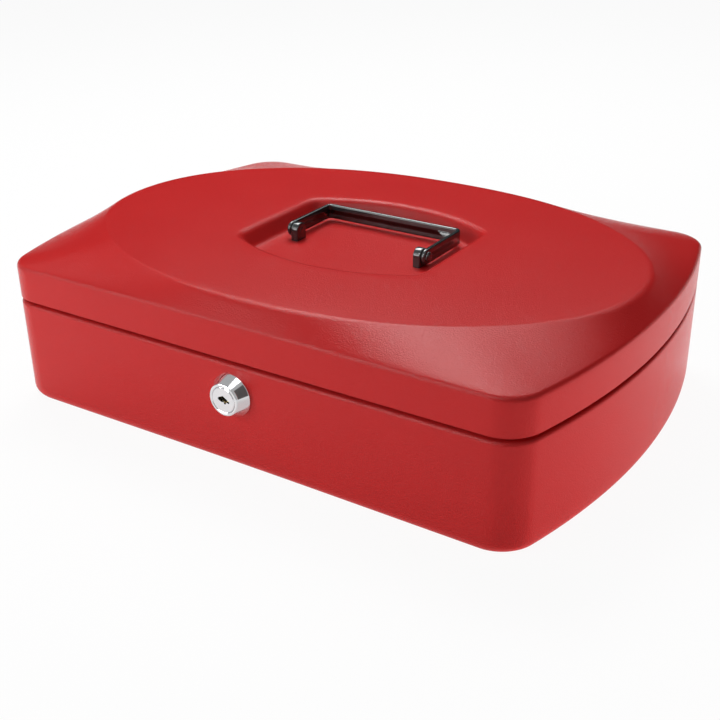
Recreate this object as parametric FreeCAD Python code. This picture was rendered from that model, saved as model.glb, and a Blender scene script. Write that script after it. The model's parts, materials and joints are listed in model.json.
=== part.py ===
"""Steel cash box: pressed body and lid, rear hinges, carrying handle, cam lock and coin tray.

Millimetres.  +X runs along the front to the right, -Y is the front, +Z is up.
The origin is the middle of the flat underside.
"""
import FreeCAD
import Part
import math
import os

from FreeCAD import Vector

# Pressed steel and the plan of the box
sheet = 1.0
box_width = 300.0
box_depth = 205.0
side_bow = 16.0
corner_radius = 17.0

# Body
body_height = 50.0
floor_radius = 5.0
shoulder_radius = 1.2
neck_height = 8.0
rim_return = 4.0
rim_radius = 1.4

# Lid
seam_gap = 2.2
skirt_clearance = 0.6
lid_band = 17.2
lid_rise = 8.8
lid_rim_radius = 2.5
plateau_end_margin = 9.0
plateau_side_margin = 7.5
plateau_edge_radius = 6.0

# Handle recess in the lid
recess_width = 102.0
recess_length = 92.0
recess_bow = 15.0
recess_corner = 9.0
recess_depth = 8.5
recess_slope = 5.0
recess_floor_radius = 2.0
recess_lip_radius = 2.0

# Handle and the lugs that carry it
handle_width = 78.4
handle_reach = 33.0
handle_bend = 3.2
handle_pivot_y = -3.5
strip_height = 7.5
strip_thickness = 2.0
handle_floor_gap = 1.2
lug_width = 7.6
lug_thickness = 4.0
lug_gap = 0.3
lug_tenon_radius = 1.6
lug_retainer_radius = 4.0
lug_retainer_thickness = 1.2
pivot_rivet_radius = 1.4
pivot_head_radius = 2.5
pivot_head_height = 1.3
pivot_head_gap = 0.15

# Rear hinges
hinge_end_margin = 62.0
hinge_length = 44.0
hinge_sheet = 1.0
hinge_setback = 0.8
hinge_pin_radius = 1.25
hinge_pin_head = 0.7
middle_knuckle = 17.0
knuckle_gap = 0.5
hinge_room = 0.5
hinge_side_room = 1.0
body_leaf_height = 21.0
lid_leaf_height = 13.0

# Cam lock
lock_drop = 13.7
collar_base_diameter = 20.4
collar_face_diameter = 14.6
collar_length = 6.2
collar_foot = 0.7
collar_round = 0.7
barrel_diameter = 15.6
barrel_length = 13.5
plug_diameter = 12.0
plug_chamfer = 0.35
plug_rear = 0.4
keyway_length = 6.2
keyway_height = 1.7
keyway_step = 1.2
keyway_depth = 17.0
tail_width = 5.6
nut_flats = 19.0
nut_thickness = 3.0
wafer_count = 5
wafer_pitch = 2.4
wafer_first = 3.0
wafer_thickness = 1.0
wafer_length = 10.4
wafer_width = 5.2
spring_radius = 0.55
spring_length = 4.0
cam_length = 17.0
cam_width = 8.0
cam_thickness = 1.5
cam_washer_radius = 4.4
cam_washer_thickness = 0.8
cam_screw_radius = 1.5
cam_screw_length = 8.0
cam_screw_head_radius = 3.2
cam_screw_head_height = 2.0
cam_screw_head_round = 1.0
cam_screw_slot_width = 1.0
cam_screw_slot_depth = 1.0

# Striker that the cam holds
striker_sheet = 1.5
striker_bend = 0.6
striker_width = 11.0
striker_rest_gap = 0.3
striker_weld_height = 7.0
striker_lip = 6.0
striker_cam_gap = 1.3
striker_side_gap = 1.5

# Coin tray and the two ledges that carry it
ledge_drop = 1.6
ledge_length = 84.0
ledge_height = 10.0
ledge_sheet = 1.0
tray_flange = 1.6
tray_flange_width = 5.0
tray_seat_gap = 0.2
tray_depth = 32.0
tray_wall = 1.8
tray_room = 2.5
tray_corner = 4.0
tray_lock_notch_width = 64.0
tray_lock_notch_depth = 29.0
tray_row_split = -30.0
coin_wells_each_side = 2
coin_scoop_rise = 0.62
note_cells = 3

# Fits
running_clearance = 0.05
seat_clearance = 0.1
level_match = 0.02

# Levels and planes worked out from the sizes above
neck_inset = sheet + skirt_clearance
mouth_inset = neck_inset + sheet + rim_return
rim_top = body_height + neck_height
lid_edge = body_height + seam_gap
lid_rim = lid_edge + lid_band
plateau_top = lid_rim + lid_rise
recess_floor = plateau_top - recess_depth
front_face = -box_depth / 2
front_inside = front_face + sheet
back_face = box_depth / 2
back_inside = back_face - sheet
pivot_z = recess_floor + handle_floor_gap + strip_height / 2
hinge_y = back_face - hinge_setback
hinge_z = body_height + seam_gap / 2
knuckle_bore = hinge_pin_radius + running_clearance
knuckle_radius = knuckle_bore + hinge_sheet
hinge_notch_half = hinge_length / 2 + hinge_side_room
hinge_x = box_width / 2 - hinge_end_margin
hinge_centres = (-hinge_x, hinge_x)
lock_height = body_height - lock_drop
barrel_rear = front_face + barrel_length
lock_face = front_face - collar_length
plug_shoulder = barrel_rear + plug_rear
cam_rear = plug_shoulder + cam_thickness
plug_bore = plug_diameter / 2 + running_clearance
ledge_top = body_height - ledge_drop
tray_top = ledge_top + tray_seat_gap + tray_flange
tray_inset = mouth_inset + tray_room
tub_inset = tray_inset + tray_flange_width
X_AXIS = Vector(1, 0, 0)
Y_AXIS = Vector(0, 1, 0)
Z_AXIS = Vector(0, 0, 1)


def box_between(x0, x1, y0, y1, z0, z1):
    """A block from its lowest to its highest corner."""
    return Part.makeBox(x1 - x0, y1 - y0, z1 - z0, Vector(x0, y0, z0))


def rod(radius, start, axis, length):
    """A round bar from a point along an axis."""
    return Part.makeCylinder(radius, length, start, axis)


def bowed_points(length, width, bow, corner, inset):
    """Tangent points and arc middles of a rectangle whose two short sides bow outwards.

    The bowed sides are circular arcs of the given sagitta and the corners are rounded.
    An inset moves every side inwards by the same distance.
    """
    half = width / 2
    bow_radius = (half * half + bow * bow) / (2 * bow)
    centre = length / 2 - bow_radius
    corner_y = half - corner
    reach = bow_radius - corner
    corner_x = centre + math.sqrt(reach * reach - corner_y * corner_y)
    spread = math.atan2(corner_y, corner_x - centre)
    middle = (math.pi / 2 + spread) / 2
    round_radius = corner - inset
    arc_radius = bow_radius - inset
    return {
        "line": (corner_x, half - inset),
        "corner": (corner_x + round_radius * math.cos(middle), corner_y + round_radius * math.sin(middle)),
        "arc": (centre + arc_radius * math.cos(spread), arc_radius * math.sin(spread)),
        "bow": (length / 2 - inset, 0.0),
    }


def bowed_edges(length, width, bow, corner, inset, z, turned=False):
    """The eight edges of a bowed rectangle, counter-clockwise; turned puts the bows on Y."""
    points = bowed_points(length, width, bow, corner, inset)

    def at(name, mirror_long, mirror_short):
        along = points[name][0] * mirror_long
        across = points[name][1] * mirror_short
        return Vector(-across, along, z) if turned else Vector(along, across, z)

    def arc(first, middle, last):
        return Part.Arc(at(*first), at(*middle), at(*last)).toShape()

    return [
        Part.makeLine(at("line", -1, -1), at("line", 1, -1)),
        arc(("line", 1, -1), ("corner", 1, -1), ("arc", 1, -1)),
        arc(("arc", 1, -1), ("bow", 1, 1), ("arc", 1, 1)),
        arc(("arc", 1, 1), ("corner", 1, 1), ("line", 1, 1)),
        Part.makeLine(at("line", 1, 1), at("line", -1, 1)),
        arc(("line", -1, 1), ("corner", -1, 1), ("arc", -1, 1)),
        arc(("arc", -1, 1), ("bow", -1, 1), ("arc", -1, -1)),
        arc(("arc", -1, -1), ("corner", -1, -1), ("line", -1, -1)),
    ]


def plan_edges(inset, z):
    """The outline of the box in plan."""
    return bowed_edges(box_width, box_depth, side_bow, corner_radius, inset, z)


def recess_edges(inset, z):
    """The outline of the handle recess, bowed at the front and the back."""
    return bowed_edges(recess_length, recess_width, recess_bow, recess_corner, inset, z, turned=True)


def plan_prism(inset, z0, z1):
    """An upright block with the outline of the box."""
    face = Part.Face(Part.Wire(plan_edges(inset, z0)))
    return face.extrude(Vector(0, 0, z1 - z0))


def ellipse_edges(half_x, half_y, z, rim):
    """An ellipse cut into arcs that face the edges of a rim, by the angle of each rim corner."""
    curve = Part.Ellipse(Vector(0, 0, z), half_x, half_y)
    starts = []
    for edge in rim:
        point = edge.valueAt(edge.FirstParameter)
        starts.append(math.atan2(point.y / half_y, point.x / half_x))
    arcs = []
    for i, start in enumerate(starts):
        end = starts[(i + 1) % len(starts)]
        while end <= start:
            end += 2 * math.pi
        arcs.append(Part.ArcOfEllipse(curve, start, end).toShape())
    return arcs


def ruled_solid(rings):
    """A closed solid with ruled sides between rings of matching edges and flat ends."""
    return Part.makeLoft([Part.Wire(ring) for ring in rings], True, True)


def bend_edges(shape, places):
    """Edges of a shape that run along X through the given places in Y and Z."""
    found = []
    for edge in shape.Edges:
        middle = edge.CenterOfMass
        for y, z in places:
            if edge.BoundBox.XLength > level_match and math.hypot(middle.y - y, middle.z - z) < level_match:
                found.append(edge)
    return found


def level_edges(shape, z):
    """Edges of a shape that lie wholly at one height."""
    found = []
    for edge in shape.Edges:
        box = edge.BoundBox
        if abs(box.ZMin - z) < level_match and abs(box.ZMax - z) < level_match:
            found.append(edge)
    return found


def lid_form(inset, bottom, rim_round, edge_round):
    """The pressed lid as a full block: upright band, ruled flanks and a flat elliptical plateau."""
    rim = plan_edges(inset, lid_rim - inset)
    half_x = box_width / 2 - plateau_end_margin - inset / 2
    half_y = box_depth / 2 - plateau_side_margin - inset / 2
    rise = ellipse_edges(half_x, half_y, plateau_top - inset, rim)
    form = ruled_solid([plan_edges(inset, bottom), rim, rise])
    form = form.makeFillet(rim_round, level_edges(form, lid_rim - inset))
    return form.makeFillet(edge_round, level_edges(form, plateau_top - inset))


def recess_form(inset, floor, top):
    """The handle recess as a full block: sloping walls and a flat floor with rounded edges."""
    flare = recess_slope / recess_depth * (top - floor)
    floor_inset = inset + recess_slope
    form = ruled_solid([recess_edges(floor_inset, floor), recess_edges(floor_inset - flare, top)])
    return form.makeFillet(recess_floor_radius, level_edges(form, floor))


def recess_rim(shape, z):
    """Edges of the lid at one height that lie round the mouth of the recess."""
    reach = (recess_width + recess_length) / 2
    return [edge for edge in level_edges(shape, z) if edge.BoundBox.DiagonalLength < reach
            and edge.CenterOfMass.Length < reach]


def hinge_spaces(z0, z1, y0):
    """Blocks that clear the hinge barrels out of the back wall."""
    spaces = []
    for x in hinge_centres:
        spaces.append(box_between(x - hinge_notch_half, x + hinge_notch_half, y0, back_face + sheet, z0, z1))
    return spaces


def make_body_shell():
    """Drawn tray with a rounded floor edge, a shoulder, a set-in neck and a returned rim."""
    outer = plan_prism(0, 0, body_height)
    outer = outer.makeFillet(floor_radius, level_edges(outer, 0))
    outer = outer.makeFillet(shoulder_radius, level_edges(outer, body_height))
    neck = plan_prism(neck_inset, body_height - shoulder_radius, rim_top)
    outer = outer.fuse(neck.makeFillet(rim_radius, level_edges(neck, rim_top)))
    room = plan_prism(sheet, sheet, body_height - sheet)
    room = room.makeFillet(floor_radius - sheet, level_edges(room, sheet))
    neck_room = plan_prism(neck_inset + sheet, body_height - 2 * sheet, rim_top - sheet)
    neck_room = neck_room.makeFillet(rim_radius - sheet, level_edges(neck_room, rim_top - sheet))
    mouth = plan_prism(mouth_inset, rim_top - 2 * sheet, rim_top + sheet)
    shell = outer.cut([room, neck_room, mouth])
    lock_start = Vector(0, front_face - sheet, lock_height)
    lock_hole = rod(barrel_diameter / 2 + seat_clearance, lock_start, Y_AXIS, 3 * sheet)
    notch_floor = hinge_z - knuckle_radius - hinge_room
    notch_front = back_face - mouth_inset
    return shell.cut([lock_hole] + hinge_spaces(notch_floor, rim_top + sheet, notch_front))


def lug_places():
    """The X of each lug's middle, left and right."""
    middle = handle_width / 2 - strip_thickness - lug_gap - lug_thickness / 2
    return (-middle, middle)


def make_lid_shell():
    """Pressed lid with a skirt that drops over the neck and a recess for the handle."""
    outer = lid_form(0, lid_edge, lid_rim_radius, plateau_edge_radius)
    inner = lid_form(sheet, lid_edge - sheet, lid_rim_radius - sheet, plateau_edge_radius - sheet)
    shell = outer.cut(inner)
    bowl = recess_form(-sheet, recess_floor - sheet, plateau_top - sheet / 2)
    hollow = recess_form(0, recess_floor, plateau_top + sheet)
    shell = shell.fuse(bowl).cut(hollow)
    shell = shell.makeFillet(recess_lip_radius, recess_rim(shell, plateau_top))
    shell = shell.makeFillet(recess_lip_radius - sheet, recess_rim(shell, plateau_top - sheet))
    holes = []
    for x in lug_places():
        start = Vector(x, handle_pivot_y, recess_floor - 2 * sheet)
        holes.append(rod(lug_tenon_radius + seat_clearance, start, Z_AXIS, 3 * sheet))
    notch_top = hinge_z + knuckle_radius + hinge_room
    return shell.cut(holes + hinge_spaces(lid_edge - sheet, notch_top, back_inside - sheet / 2))


def knuckle(x0, x1):
    """One rolled ring of a hinge leaf around the pin."""
    ring = rod(knuckle_radius, Vector(x0, hinge_y, hinge_z), X_AXIS, x1 - x0)
    return ring.cut(rod(knuckle_bore, Vector(x0, hinge_y, hinge_z), X_AXIS, x1 - x0))


def hinge_leaf(x, up, height, spans, clear_spans):
    """A leaf on the inside of the back wall: a plate rolled into knuckles at its hinge edge.

    The plate is set back from the other leaf's knuckles, which lie in the clear spans.
    """
    reach = knuckle_radius + hinge_room
    near = hinge_z + up * knuckle_bore
    far = hinge_z + up * (reach + height)
    plate_y = back_inside - hinge_sheet
    left, right = x - hinge_length / 2, x + hinge_length / 2
    leaf = box_between(left, right, plate_y, back_inside, min(near, far), max(near, far))
    for x0, x1 in clear_spans:
        stop = hinge_z + up * reach
        leaf = leaf.cut(box_between(x0, x1, plate_y, back_inside, min(near, stop), max(near, stop)))
    leaf = leaf.cut(rod(knuckle_bore, Vector(left, hinge_y, hinge_z), X_AXIS, hinge_length))
    for x0, x1 in spans:
        leaf = leaf.fuse(knuckle(x0, x1))
    return leaf.removeSplitter()


def hinge_spans(x):
    """The stretches of the outer knuckles and of the middle one, with the gaps between them."""
    half, inner = hinge_length / 2, middle_knuckle / 2
    ends = [(x - half, x - inner - knuckle_gap), (x + inner + knuckle_gap, x + half)]
    middle = [(x - inner, x + inner)]
    clear_of_ends = [(x - half, x - inner), (x + inner, x + half)]
    clear_of_middle = [(x - inner - knuckle_gap, x + inner + knuckle_gap)]
    return ends, middle, clear_of_ends, clear_of_middle


def make_body_leaf(x):
    """The leaf welded inside the body's back wall, with the two outer knuckles."""
    ends, _, _, clear_of_middle = hinge_spans(x)
    return hinge_leaf(x, -1, body_leaf_height, ends, clear_of_middle)


def make_lid_leaf(x):
    """The leaf welded inside the lid's skirt, with the middle knuckle."""
    _, middle, clear_of_ends, _ = hinge_spans(x)
    return hinge_leaf(x, 1, lid_leaf_height, middle, clear_of_ends)


def make_hinge_pin(x):
    """A wire pin with its ends spread outside the knuckles."""
    start = x - hinge_length / 2 - hinge_pin_head
    pin = rod(hinge_pin_radius, Vector(start, hinge_y, hinge_z), X_AXIS, hinge_length + 2 * hinge_pin_head)
    head_radius = knuckle_bore + hinge_sheet / 2
    for head_x in (start, x + hinge_length / 2):
        pin = pin.fuse(rod(head_radius, Vector(head_x, hinge_y, hinge_z), X_AXIS, hinge_pin_head))
    return pin.removeSplitter()


def make_handle():
    """A flat strip on edge bent into a bail, with rounded drilled ends."""
    half = handle_width / 2
    bar = handle_pivot_y + handle_reach
    inner_bend = handle_bend - strip_thickness
    low = pivot_z - strip_height / 2
    inner = half - strip_thickness
    inner_bar = bar - strip_thickness
    diagonal = math.sqrt(0.5)

    def bend(side, x, y, radius):
        centre = Vector(side * (x - radius), y - radius, low)
        first = centre + Vector(side * radius, 0, 0)
        middle = centre + Vector(side * radius * diagonal, radius * diagonal, 0)
        last = centre + Vector(0, radius, 0)
        return [first, middle, last]

    outer_left, outer_right = [bend(side, half, bar, handle_bend) for side in (-1, 1)]
    inner_left, inner_right = [bend(side, inner, inner_bar, inner_bend) for side in (-1, 1)]
    feet = [Vector(x, handle_pivot_y, low) for x in (half, -half, -inner, inner)]
    edges = [
        Part.makeLine(feet[0], outer_right[0]),
        Part.Arc(*outer_right).toShape(),
        Part.makeLine(outer_right[2], outer_left[2]),
        Part.Arc(*reversed(outer_left)).toShape(),
        Part.makeLine(outer_left[0], feet[1]),
        Part.makeLine(feet[1], feet[2]),
        Part.makeLine(feet[2], inner_left[0]),
        Part.Arc(*inner_left).toShape(),
        Part.makeLine(inner_left[2], inner_right[2]),
        Part.Arc(*reversed(inner_right)).toShape(),
        Part.makeLine(inner_right[0], feet[3]),
        Part.makeLine(feet[3], feet[0]),
    ]
    handle = Part.Face(Part.Wire(edges)).extrude(Vector(0, 0, strip_height))
    ends = [Vector(x, handle_pivot_y, pivot_z) for x in (-half, inner)]
    bore = pivot_rivet_radius + running_clearance
    handle = handle.fuse([rod(strip_height / 2, end, X_AXIS, strip_thickness) for end in ends])
    handle = handle.cut([rod(bore, end, X_AXIS, strip_thickness) for end in ends])
    return handle.removeSplitter()


def make_lug(side):
    """A round-topped post beside the handle's end, with a tenon through the recess floor."""
    x = lug_places()[0 if side < 0 else 1]
    left, right = x - lug_thickness / 2, x + lug_thickness / 2
    half = lug_width / 2
    front, back = handle_pivot_y - half, handle_pivot_y + half
    pivot = Vector(left, handle_pivot_y, pivot_z)
    post = box_between(left, right, front, back, recess_floor, pivot_z)
    tenon_length = sheet + lug_retainer_thickness
    tenon_foot = Vector(x, handle_pivot_y, recess_floor - tenon_length)
    tenon = rod(lug_tenon_radius, tenon_foot, Z_AXIS, tenon_length)
    lug = post.fuse([rod(half, pivot, X_AXIS, lug_thickness), tenon])
    return lug.cut(rod(pivot_rivet_radius, pivot, X_AXIS, lug_thickness)).removeSplitter()


def make_lug_retainer(x):
    """A push-on washer under the recess floor."""
    low = recess_floor - sheet - lug_retainer_thickness
    washer = rod(lug_retainer_radius, Vector(x, handle_pivot_y, low), Z_AXIS, lug_retainer_thickness)
    return washer.cut(rod(lug_tenon_radius, Vector(x, handle_pivot_y, low), Z_AXIS, lug_retainer_thickness))


def make_pivot_rivet(side):
    """A rivet fixed in the lug, with a domed head outside the handle's end."""
    lug_inside = handle_width / 2 - strip_thickness - lug_gap - lug_thickness
    head = handle_width / 2 + pivot_head_gap
    outwards = Vector(side, 0, 0)

    def on_axis(reach):
        return Vector(side * reach, handle_pivot_y, pivot_z)

    shank = rod(pivot_rivet_radius, on_axis(lug_inside), outwards, head - lug_inside)
    dome_radius = (pivot_head_radius ** 2 + pivot_head_height ** 2) / (2 * pivot_head_height)
    ball = Part.makeSphere(dome_radius, on_axis(head + pivot_head_height - dome_radius))
    slab = rod(pivot_head_radius, on_axis(head), outwards, pivot_head_height)
    return shank.fuse(ball.common(slab)).removeSplitter()


def turned_about_lock(points):
    """A solid of revolution about the lock axis, from points of radius and Y."""
    corners = [Vector(radius, y, lock_height) for radius, y in points]
    face = Part.Face(Part.makePolygon(corners + corners[:1]))
    return face.revolve(Vector(0, 0, lock_height), Y_AXIS, 360)


def make_lock_housing():
    """Conical collar in front of the wall and a round barrel through it, bored for the plug."""
    base, face = collar_base_diameter / 2, collar_face_diameter / 2
    barrel = barrel_diameter / 2
    return turned_about_lock([
        (plug_bore + plug_chamfer, lock_face),
        (face - collar_round, lock_face),
        (face, lock_face + collar_round),
        (base, front_face - collar_foot),
        (base, front_face),
        (barrel, front_face),
        (barrel, barrel_rear),
        (plug_bore, barrel_rear),
        (plug_bore, lock_face + plug_chamfer),
    ])


def make_lock_nut():
    """Hexagon nut that clamps the housing to the inside of the front wall."""
    corner = nut_flats / math.sqrt(3)
    points = []
    for i in range(6):
        angle = math.radians(60 * i + 30)
        points.append(Vector(corner * math.sin(angle), front_inside, lock_height + corner * math.cos(angle)))
    nut = Part.Face(Part.makePolygon(points + points[:1])).extrude(Vector(0, nut_thickness, 0))
    bore_radius = barrel_diameter / 2 + running_clearance
    return nut.cut(rod(bore_radius, Vector(0, front_inside, lock_height), Y_AXIS, nut_thickness))


def wafer_middles():
    """Y of the middle of each wafer, counted back from the plug's face."""
    return [lock_face + wafer_first + wafer_pitch * i for i in range(wafer_count)]


def keyway(depth):
    """The stepped slot for the key, two overlapping bars that give it a zigzag section."""
    half = keyway_length / 2
    low = lock_height - keyway_step / 2
    back = lock_face + depth
    left = box_between(-half, keyway_height / 2, lock_face, back, low, low + keyway_height)
    right_top = lock_height + keyway_step / 2
    right = box_between(-keyway_height / 2, half, lock_face, back, right_top - keyway_height, right_top)
    return left.fuse(right)


def make_lock_plug():
    """Round plug with a keyway, wafer slots and a square tail for the cam."""
    radius = plug_diameter / 2
    plug = turned_about_lock([
        (0, lock_face),
        (radius - plug_chamfer, lock_face),
        (radius, lock_face + plug_chamfer),
        (radius, plug_shoulder),
        (0, plug_shoulder),
    ])
    half = tail_width / 2
    tail_end = cam_rear - seat_clearance
    tail = box_between(-half, half, plug_shoulder, tail_end, lock_height - half, lock_height + half)
    plug = plug.fuse(tail)
    screw_room = rod(cam_screw_radius, Vector(0, tail_end, lock_height), Vector(0, -1, 0), cam_screw_length)
    slots = []
    room = 2 * seat_clearance
    for y in wafer_middles():
        slots.append(wafer_block(y, wafer_thickness + room, wafer_width + room, plug_diameter))
        slots.append(wafer_spring(y, spring_radius + seat_clearance, spring_length + room))
    return plug.cut([keyway(keyway_depth), screw_room] + slots)


def wafer_block(y, thickness, width, length):
    """A flat block across the plug at one wafer's place."""
    return box_between(-length / 2, length / 2, y - thickness / 2, y + thickness / 2,
                       lock_height - width / 2, lock_height + width / 2)


def wafer_spring(y, radius, length):
    """The round space of the small spring that lies above a wafer."""
    z = lock_height + wafer_width / 2 + spring_radius + 2 * seat_clearance
    return rod(radius, Vector(-length / 2, y, z), X_AXIS, length)


def make_wafers():
    """Flat wafers with a window for the key, drawn in as they are with the key in the lock."""
    window_length, window_height = keyway_length + wafer_thickness, keyway_height + keyway_step
    wafers = []
    for y in wafer_middles():
        window = wafer_block(y, wafer_thickness, window_height, window_length)
        wafers.append(wafer_block(y, wafer_thickness, wafer_width, wafer_length).cut(window))
    return Part.makeCompound(wafers)


def make_wafer_springs():
    """One small spring beside each wafer, as a plain round bar."""
    return Part.makeCompound([wafer_spring(y, spring_radius, spring_length) for y in wafer_middles()])


def make_lock_cam():
    """Flat cam on the plug's tail that points up when the lock is open."""
    half = cam_width / 2
    straight = cam_length - half
    y = plug_shoulder
    cam = box_between(-half, half, y, cam_rear, lock_height, lock_height + straight)
    cam = cam.fuse(rod(half, Vector(0, y, lock_height + straight), Y_AXIS, cam_thickness))
    cam = cam.fuse(rod(plug_diameter / 2, Vector(0, y, lock_height), Y_AXIS, cam_thickness))
    hole = tail_width / 2 + running_clearance
    cam = cam.cut(box_between(-hole, hole, y, cam_rear, lock_height - hole, lock_height + hole))
    return cam.removeSplitter()


def make_cam_washer():
    """Plain washer between the cam and its screw."""
    start = Vector(0, cam_rear, lock_height)
    washer = rod(cam_washer_radius, start, Y_AXIS, cam_washer_thickness)
    return washer.cut(rod(cam_screw_radius + seat_clearance, start, Y_AXIS, cam_washer_thickness))


def make_cam_screw():
    """Pan-head screw in the end of the plug."""
    under_head = cam_rear + cam_washer_thickness
    tail_end = cam_rear - seat_clearance
    start = tail_end - cam_screw_length
    shank = rod(cam_screw_radius, Vector(0, start, lock_height), Y_AXIS, under_head - start)
    head = rod(cam_screw_head_radius, Vector(0, under_head, lock_height), Y_AXIS, cam_screw_head_height)
    head = head.makeFillet(cam_screw_head_round, [head.Edges[0]])
    half_slot = cam_screw_slot_width / 2
    top = under_head + cam_screw_head_height
    slot = box_between(-cam_screw_head_radius, cam_screw_head_radius, top - cam_screw_slot_depth, top,
                       lock_height - half_slot, lock_height + half_slot)
    return shank.fuse(head).cut(slot)


def make_striker():
    """Strap welded inside the lid's front, bent over the rim, down behind the cam, and forward under it."""
    web_low = rim_top + striker_rest_gap
    web_top = web_low + striker_sheet
    weld_top = web_top + striker_weld_height
    weld_back = front_inside + striker_sheet
    leg_front = cam_rear + cam_washer_thickness
    leg_back = leg_front + striker_sheet
    lip_top = lock_height - cam_width / 2 - striker_cam_gap
    lip_low = lip_top - striker_sheet
    lip_front = leg_front - striker_lip
    outside_bends = [(front_inside, web_low), (leg_back, web_top), (leg_back, lip_low)]
    inside_bends = [(weld_back, web_top), (leg_front, web_low), (leg_front, lip_top)]
    section = [
        outside_bends[0], (front_inside, weld_top), (weld_back, weld_top), inside_bends[0], outside_bends[1],
        outside_bends[2], (lip_front, lip_low), (lip_front, lip_top), inside_bends[2], inside_bends[1],
    ]
    left = barrel_diameter / 2 + striker_side_gap
    corners = [Vector(left, y, z) for y, z in section]
    strap = Part.Face(Part.makePolygon(corners + corners[:1])).extrude(X_AXIS * striker_width)
    strap = strap.makeFillet(striker_bend + striker_sheet, bend_edges(strap, outside_bends))
    return strap.makeFillet(striker_bend, bend_edges(strap, inside_bends))


def make_tray_ledge(side):
    """Angle strip welded inside one bowed end, whose flat arm carries the tray's flange."""
    low = ledge_top - ledge_height
    under_arm = plan_prism(sheet + ledge_sheet, low - sheet, ledge_top - ledge_sheet)
    clear_of_tub = plan_prism(tub_inset - tray_room, low - sheet, ledge_top + sheet)
    angle = plan_prism(sheet, low, ledge_top).cut([under_arm, clear_of_tub])
    x0, x1 = sorted((0, side * box_width))
    half = ledge_length / 2
    return angle.common(box_between(x0, x1, -half, half, low, ledge_top))


def upright_edges(shape, y0):
    """Edges of a block that stand upright behind a plane across the box."""
    return [edge for edge in shape.Edges if edge.BoundBox.ZLength > level_match and edge.BoundBox.YMin > y0]


def lock_notch(z0, z1):
    """The space that the tray leaves for the lock in the middle of its front."""
    half = tray_lock_notch_width / 2
    back = front_face + tray_lock_notch_depth
    notch = box_between(-half, half, front_face - sheet, back, z0, z1)
    return notch.makeFillet(tray_corner, upright_edges(notch, front_face))


def coin_cell(x0, x1, y0, y1, low, top, scoop):
    """One compartment; a scooped one has a half-round floor from front to back."""
    if not scoop:
        cell = box_between(x0, x1, y0, y1, low, top)
        return cell.makeFillet(tray_corner, upright_edges(cell, front_face))
    middle = (y0 + y1) / 2
    spring_line = low + coin_scoop_rise * (y1 - y0) / 2
    profile = Part.Wire([
        Part.Arc(Vector(x0, y0, spring_line), Vector(x0, middle, low), Vector(x0, y1, spring_line)).toShape(),
        Part.makeLine(Vector(x0, y1, spring_line), Vector(x0, y1, top)),
        Part.makeLine(Vector(x0, y1, top), Vector(x0, y0, top)),
        Part.makeLine(Vector(x0, y0, top), Vector(x0, y0, spring_line)),
    ])
    return Part.Face(profile).extrude(Vector(x1 - x0, 0, 0))


def tray_cells(low, top):
    """Compartments of the tray: coin wells beside the lock at the front, note cells behind."""
    inside = tub_inset + tray_wall
    front, back = front_face + inside, back_face - inside
    end = box_width / 2 - inside
    half_wall = tray_wall / 2
    cells = []
    notch_side = tray_lock_notch_width / 2 + tray_wall
    well_width = (end - notch_side) / coin_wells_each_side
    for side in (-1, 1):
        for i in range(coin_wells_each_side):
            near = notch_side + well_width * i + (half_wall if i else 0)
            far = notch_side + well_width * (i + 1) - (half_wall if i + 1 < coin_wells_each_side else 0)
            x0, x1 = sorted((side * near, side * far))
            cells.append(coin_cell(x0, x1, front, tray_row_split - half_wall, low, top, True))
    notch_back = front_face + tray_lock_notch_depth + tray_wall
    cells.append(coin_cell(-notch_side + tray_wall, notch_side - tray_wall, notch_back,
                           tray_row_split - half_wall, low, top, True))
    cell_width = 2 * end / note_cells
    for i in range(note_cells):
        x0 = -end + cell_width * i + (half_wall if i else 0)
        x1 = -end + cell_width * (i + 1) - (half_wall if i + 1 < note_cells else 0)
        cells.append(coin_cell(x0, x1, tray_row_split + half_wall, back, low, top, False))
    return cells


def make_coin_tray():
    """Moulded tray that hangs by its flange on the two ledges, with a notch for the lock."""
    bottom = tray_top - tray_depth
    flange = plan_prism(tray_inset, tray_top - tray_flange, tray_top)
    tub = plan_prism(tub_inset, bottom, tray_top)
    tub = tub.makeFillet(tray_wall, level_edges(tub, bottom))
    tray = flange.fuse(tub).cut(lock_notch(bottom - sheet, tray_top + sheet))
    hollow = plan_prism(tub_inset + tray_wall, bottom + tray_wall, tray_top + sheet)
    for cell in tray_cells(bottom + tray_wall, tray_top + sheet):
        tray = tray.cut(cell.common(hollow))
    return tray.removeSplitter()


def build():
    """Every piece of the cash box by name."""
    left, right = hinge_centres
    return {
        "body_shell": make_body_shell(),
        "lid_shell": make_lid_shell(),
        "body_hinge_leaf_left": make_body_leaf(left),
        "body_hinge_leaf_right": make_body_leaf(right),
        "lid_hinge_leaf_left": make_lid_leaf(left),
        "lid_hinge_leaf_right": make_lid_leaf(right),
        "hinge_pin_left": make_hinge_pin(left),
        "hinge_pin_right": make_hinge_pin(right),
        "handle_strip": make_handle(),
        "handle_lug_left": make_lug(-1),
        "handle_lug_right": make_lug(1),
        "lug_retainers": Part.makeCompound([make_lug_retainer(x) for x in lug_places()]),
        "pivot_rivet_left": make_pivot_rivet(-1),
        "pivot_rivet_right": make_pivot_rivet(1),
        "lock_housing": make_lock_housing(),
        "lock_nut": make_lock_nut(),
        "lock_plug": make_lock_plug(),
        "lock_wafers": make_wafers(),
        "wafer_springs": make_wafer_springs(),
        "lock_cam": make_lock_cam(),
        "cam_washer": make_cam_washer(),
        "cam_screw": make_cam_screw(),
        "striker": make_striker(),
        "tray_ledge_left": make_tray_ledge(-1),
        "tray_ledge_right": make_tray_ledge(1),
        "coin_tray": make_coin_tray(),
    }


def main():
    """Write one STEP file for each piece."""
    os.makedirs("parts", exist_ok=True)
    for name, shape in build().items():
        shape.exportStep(os.path.join("parts", name + ".step"))


main()
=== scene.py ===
"""Looks of the steel cash box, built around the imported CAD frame, in metres."""

import json
import math

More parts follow.
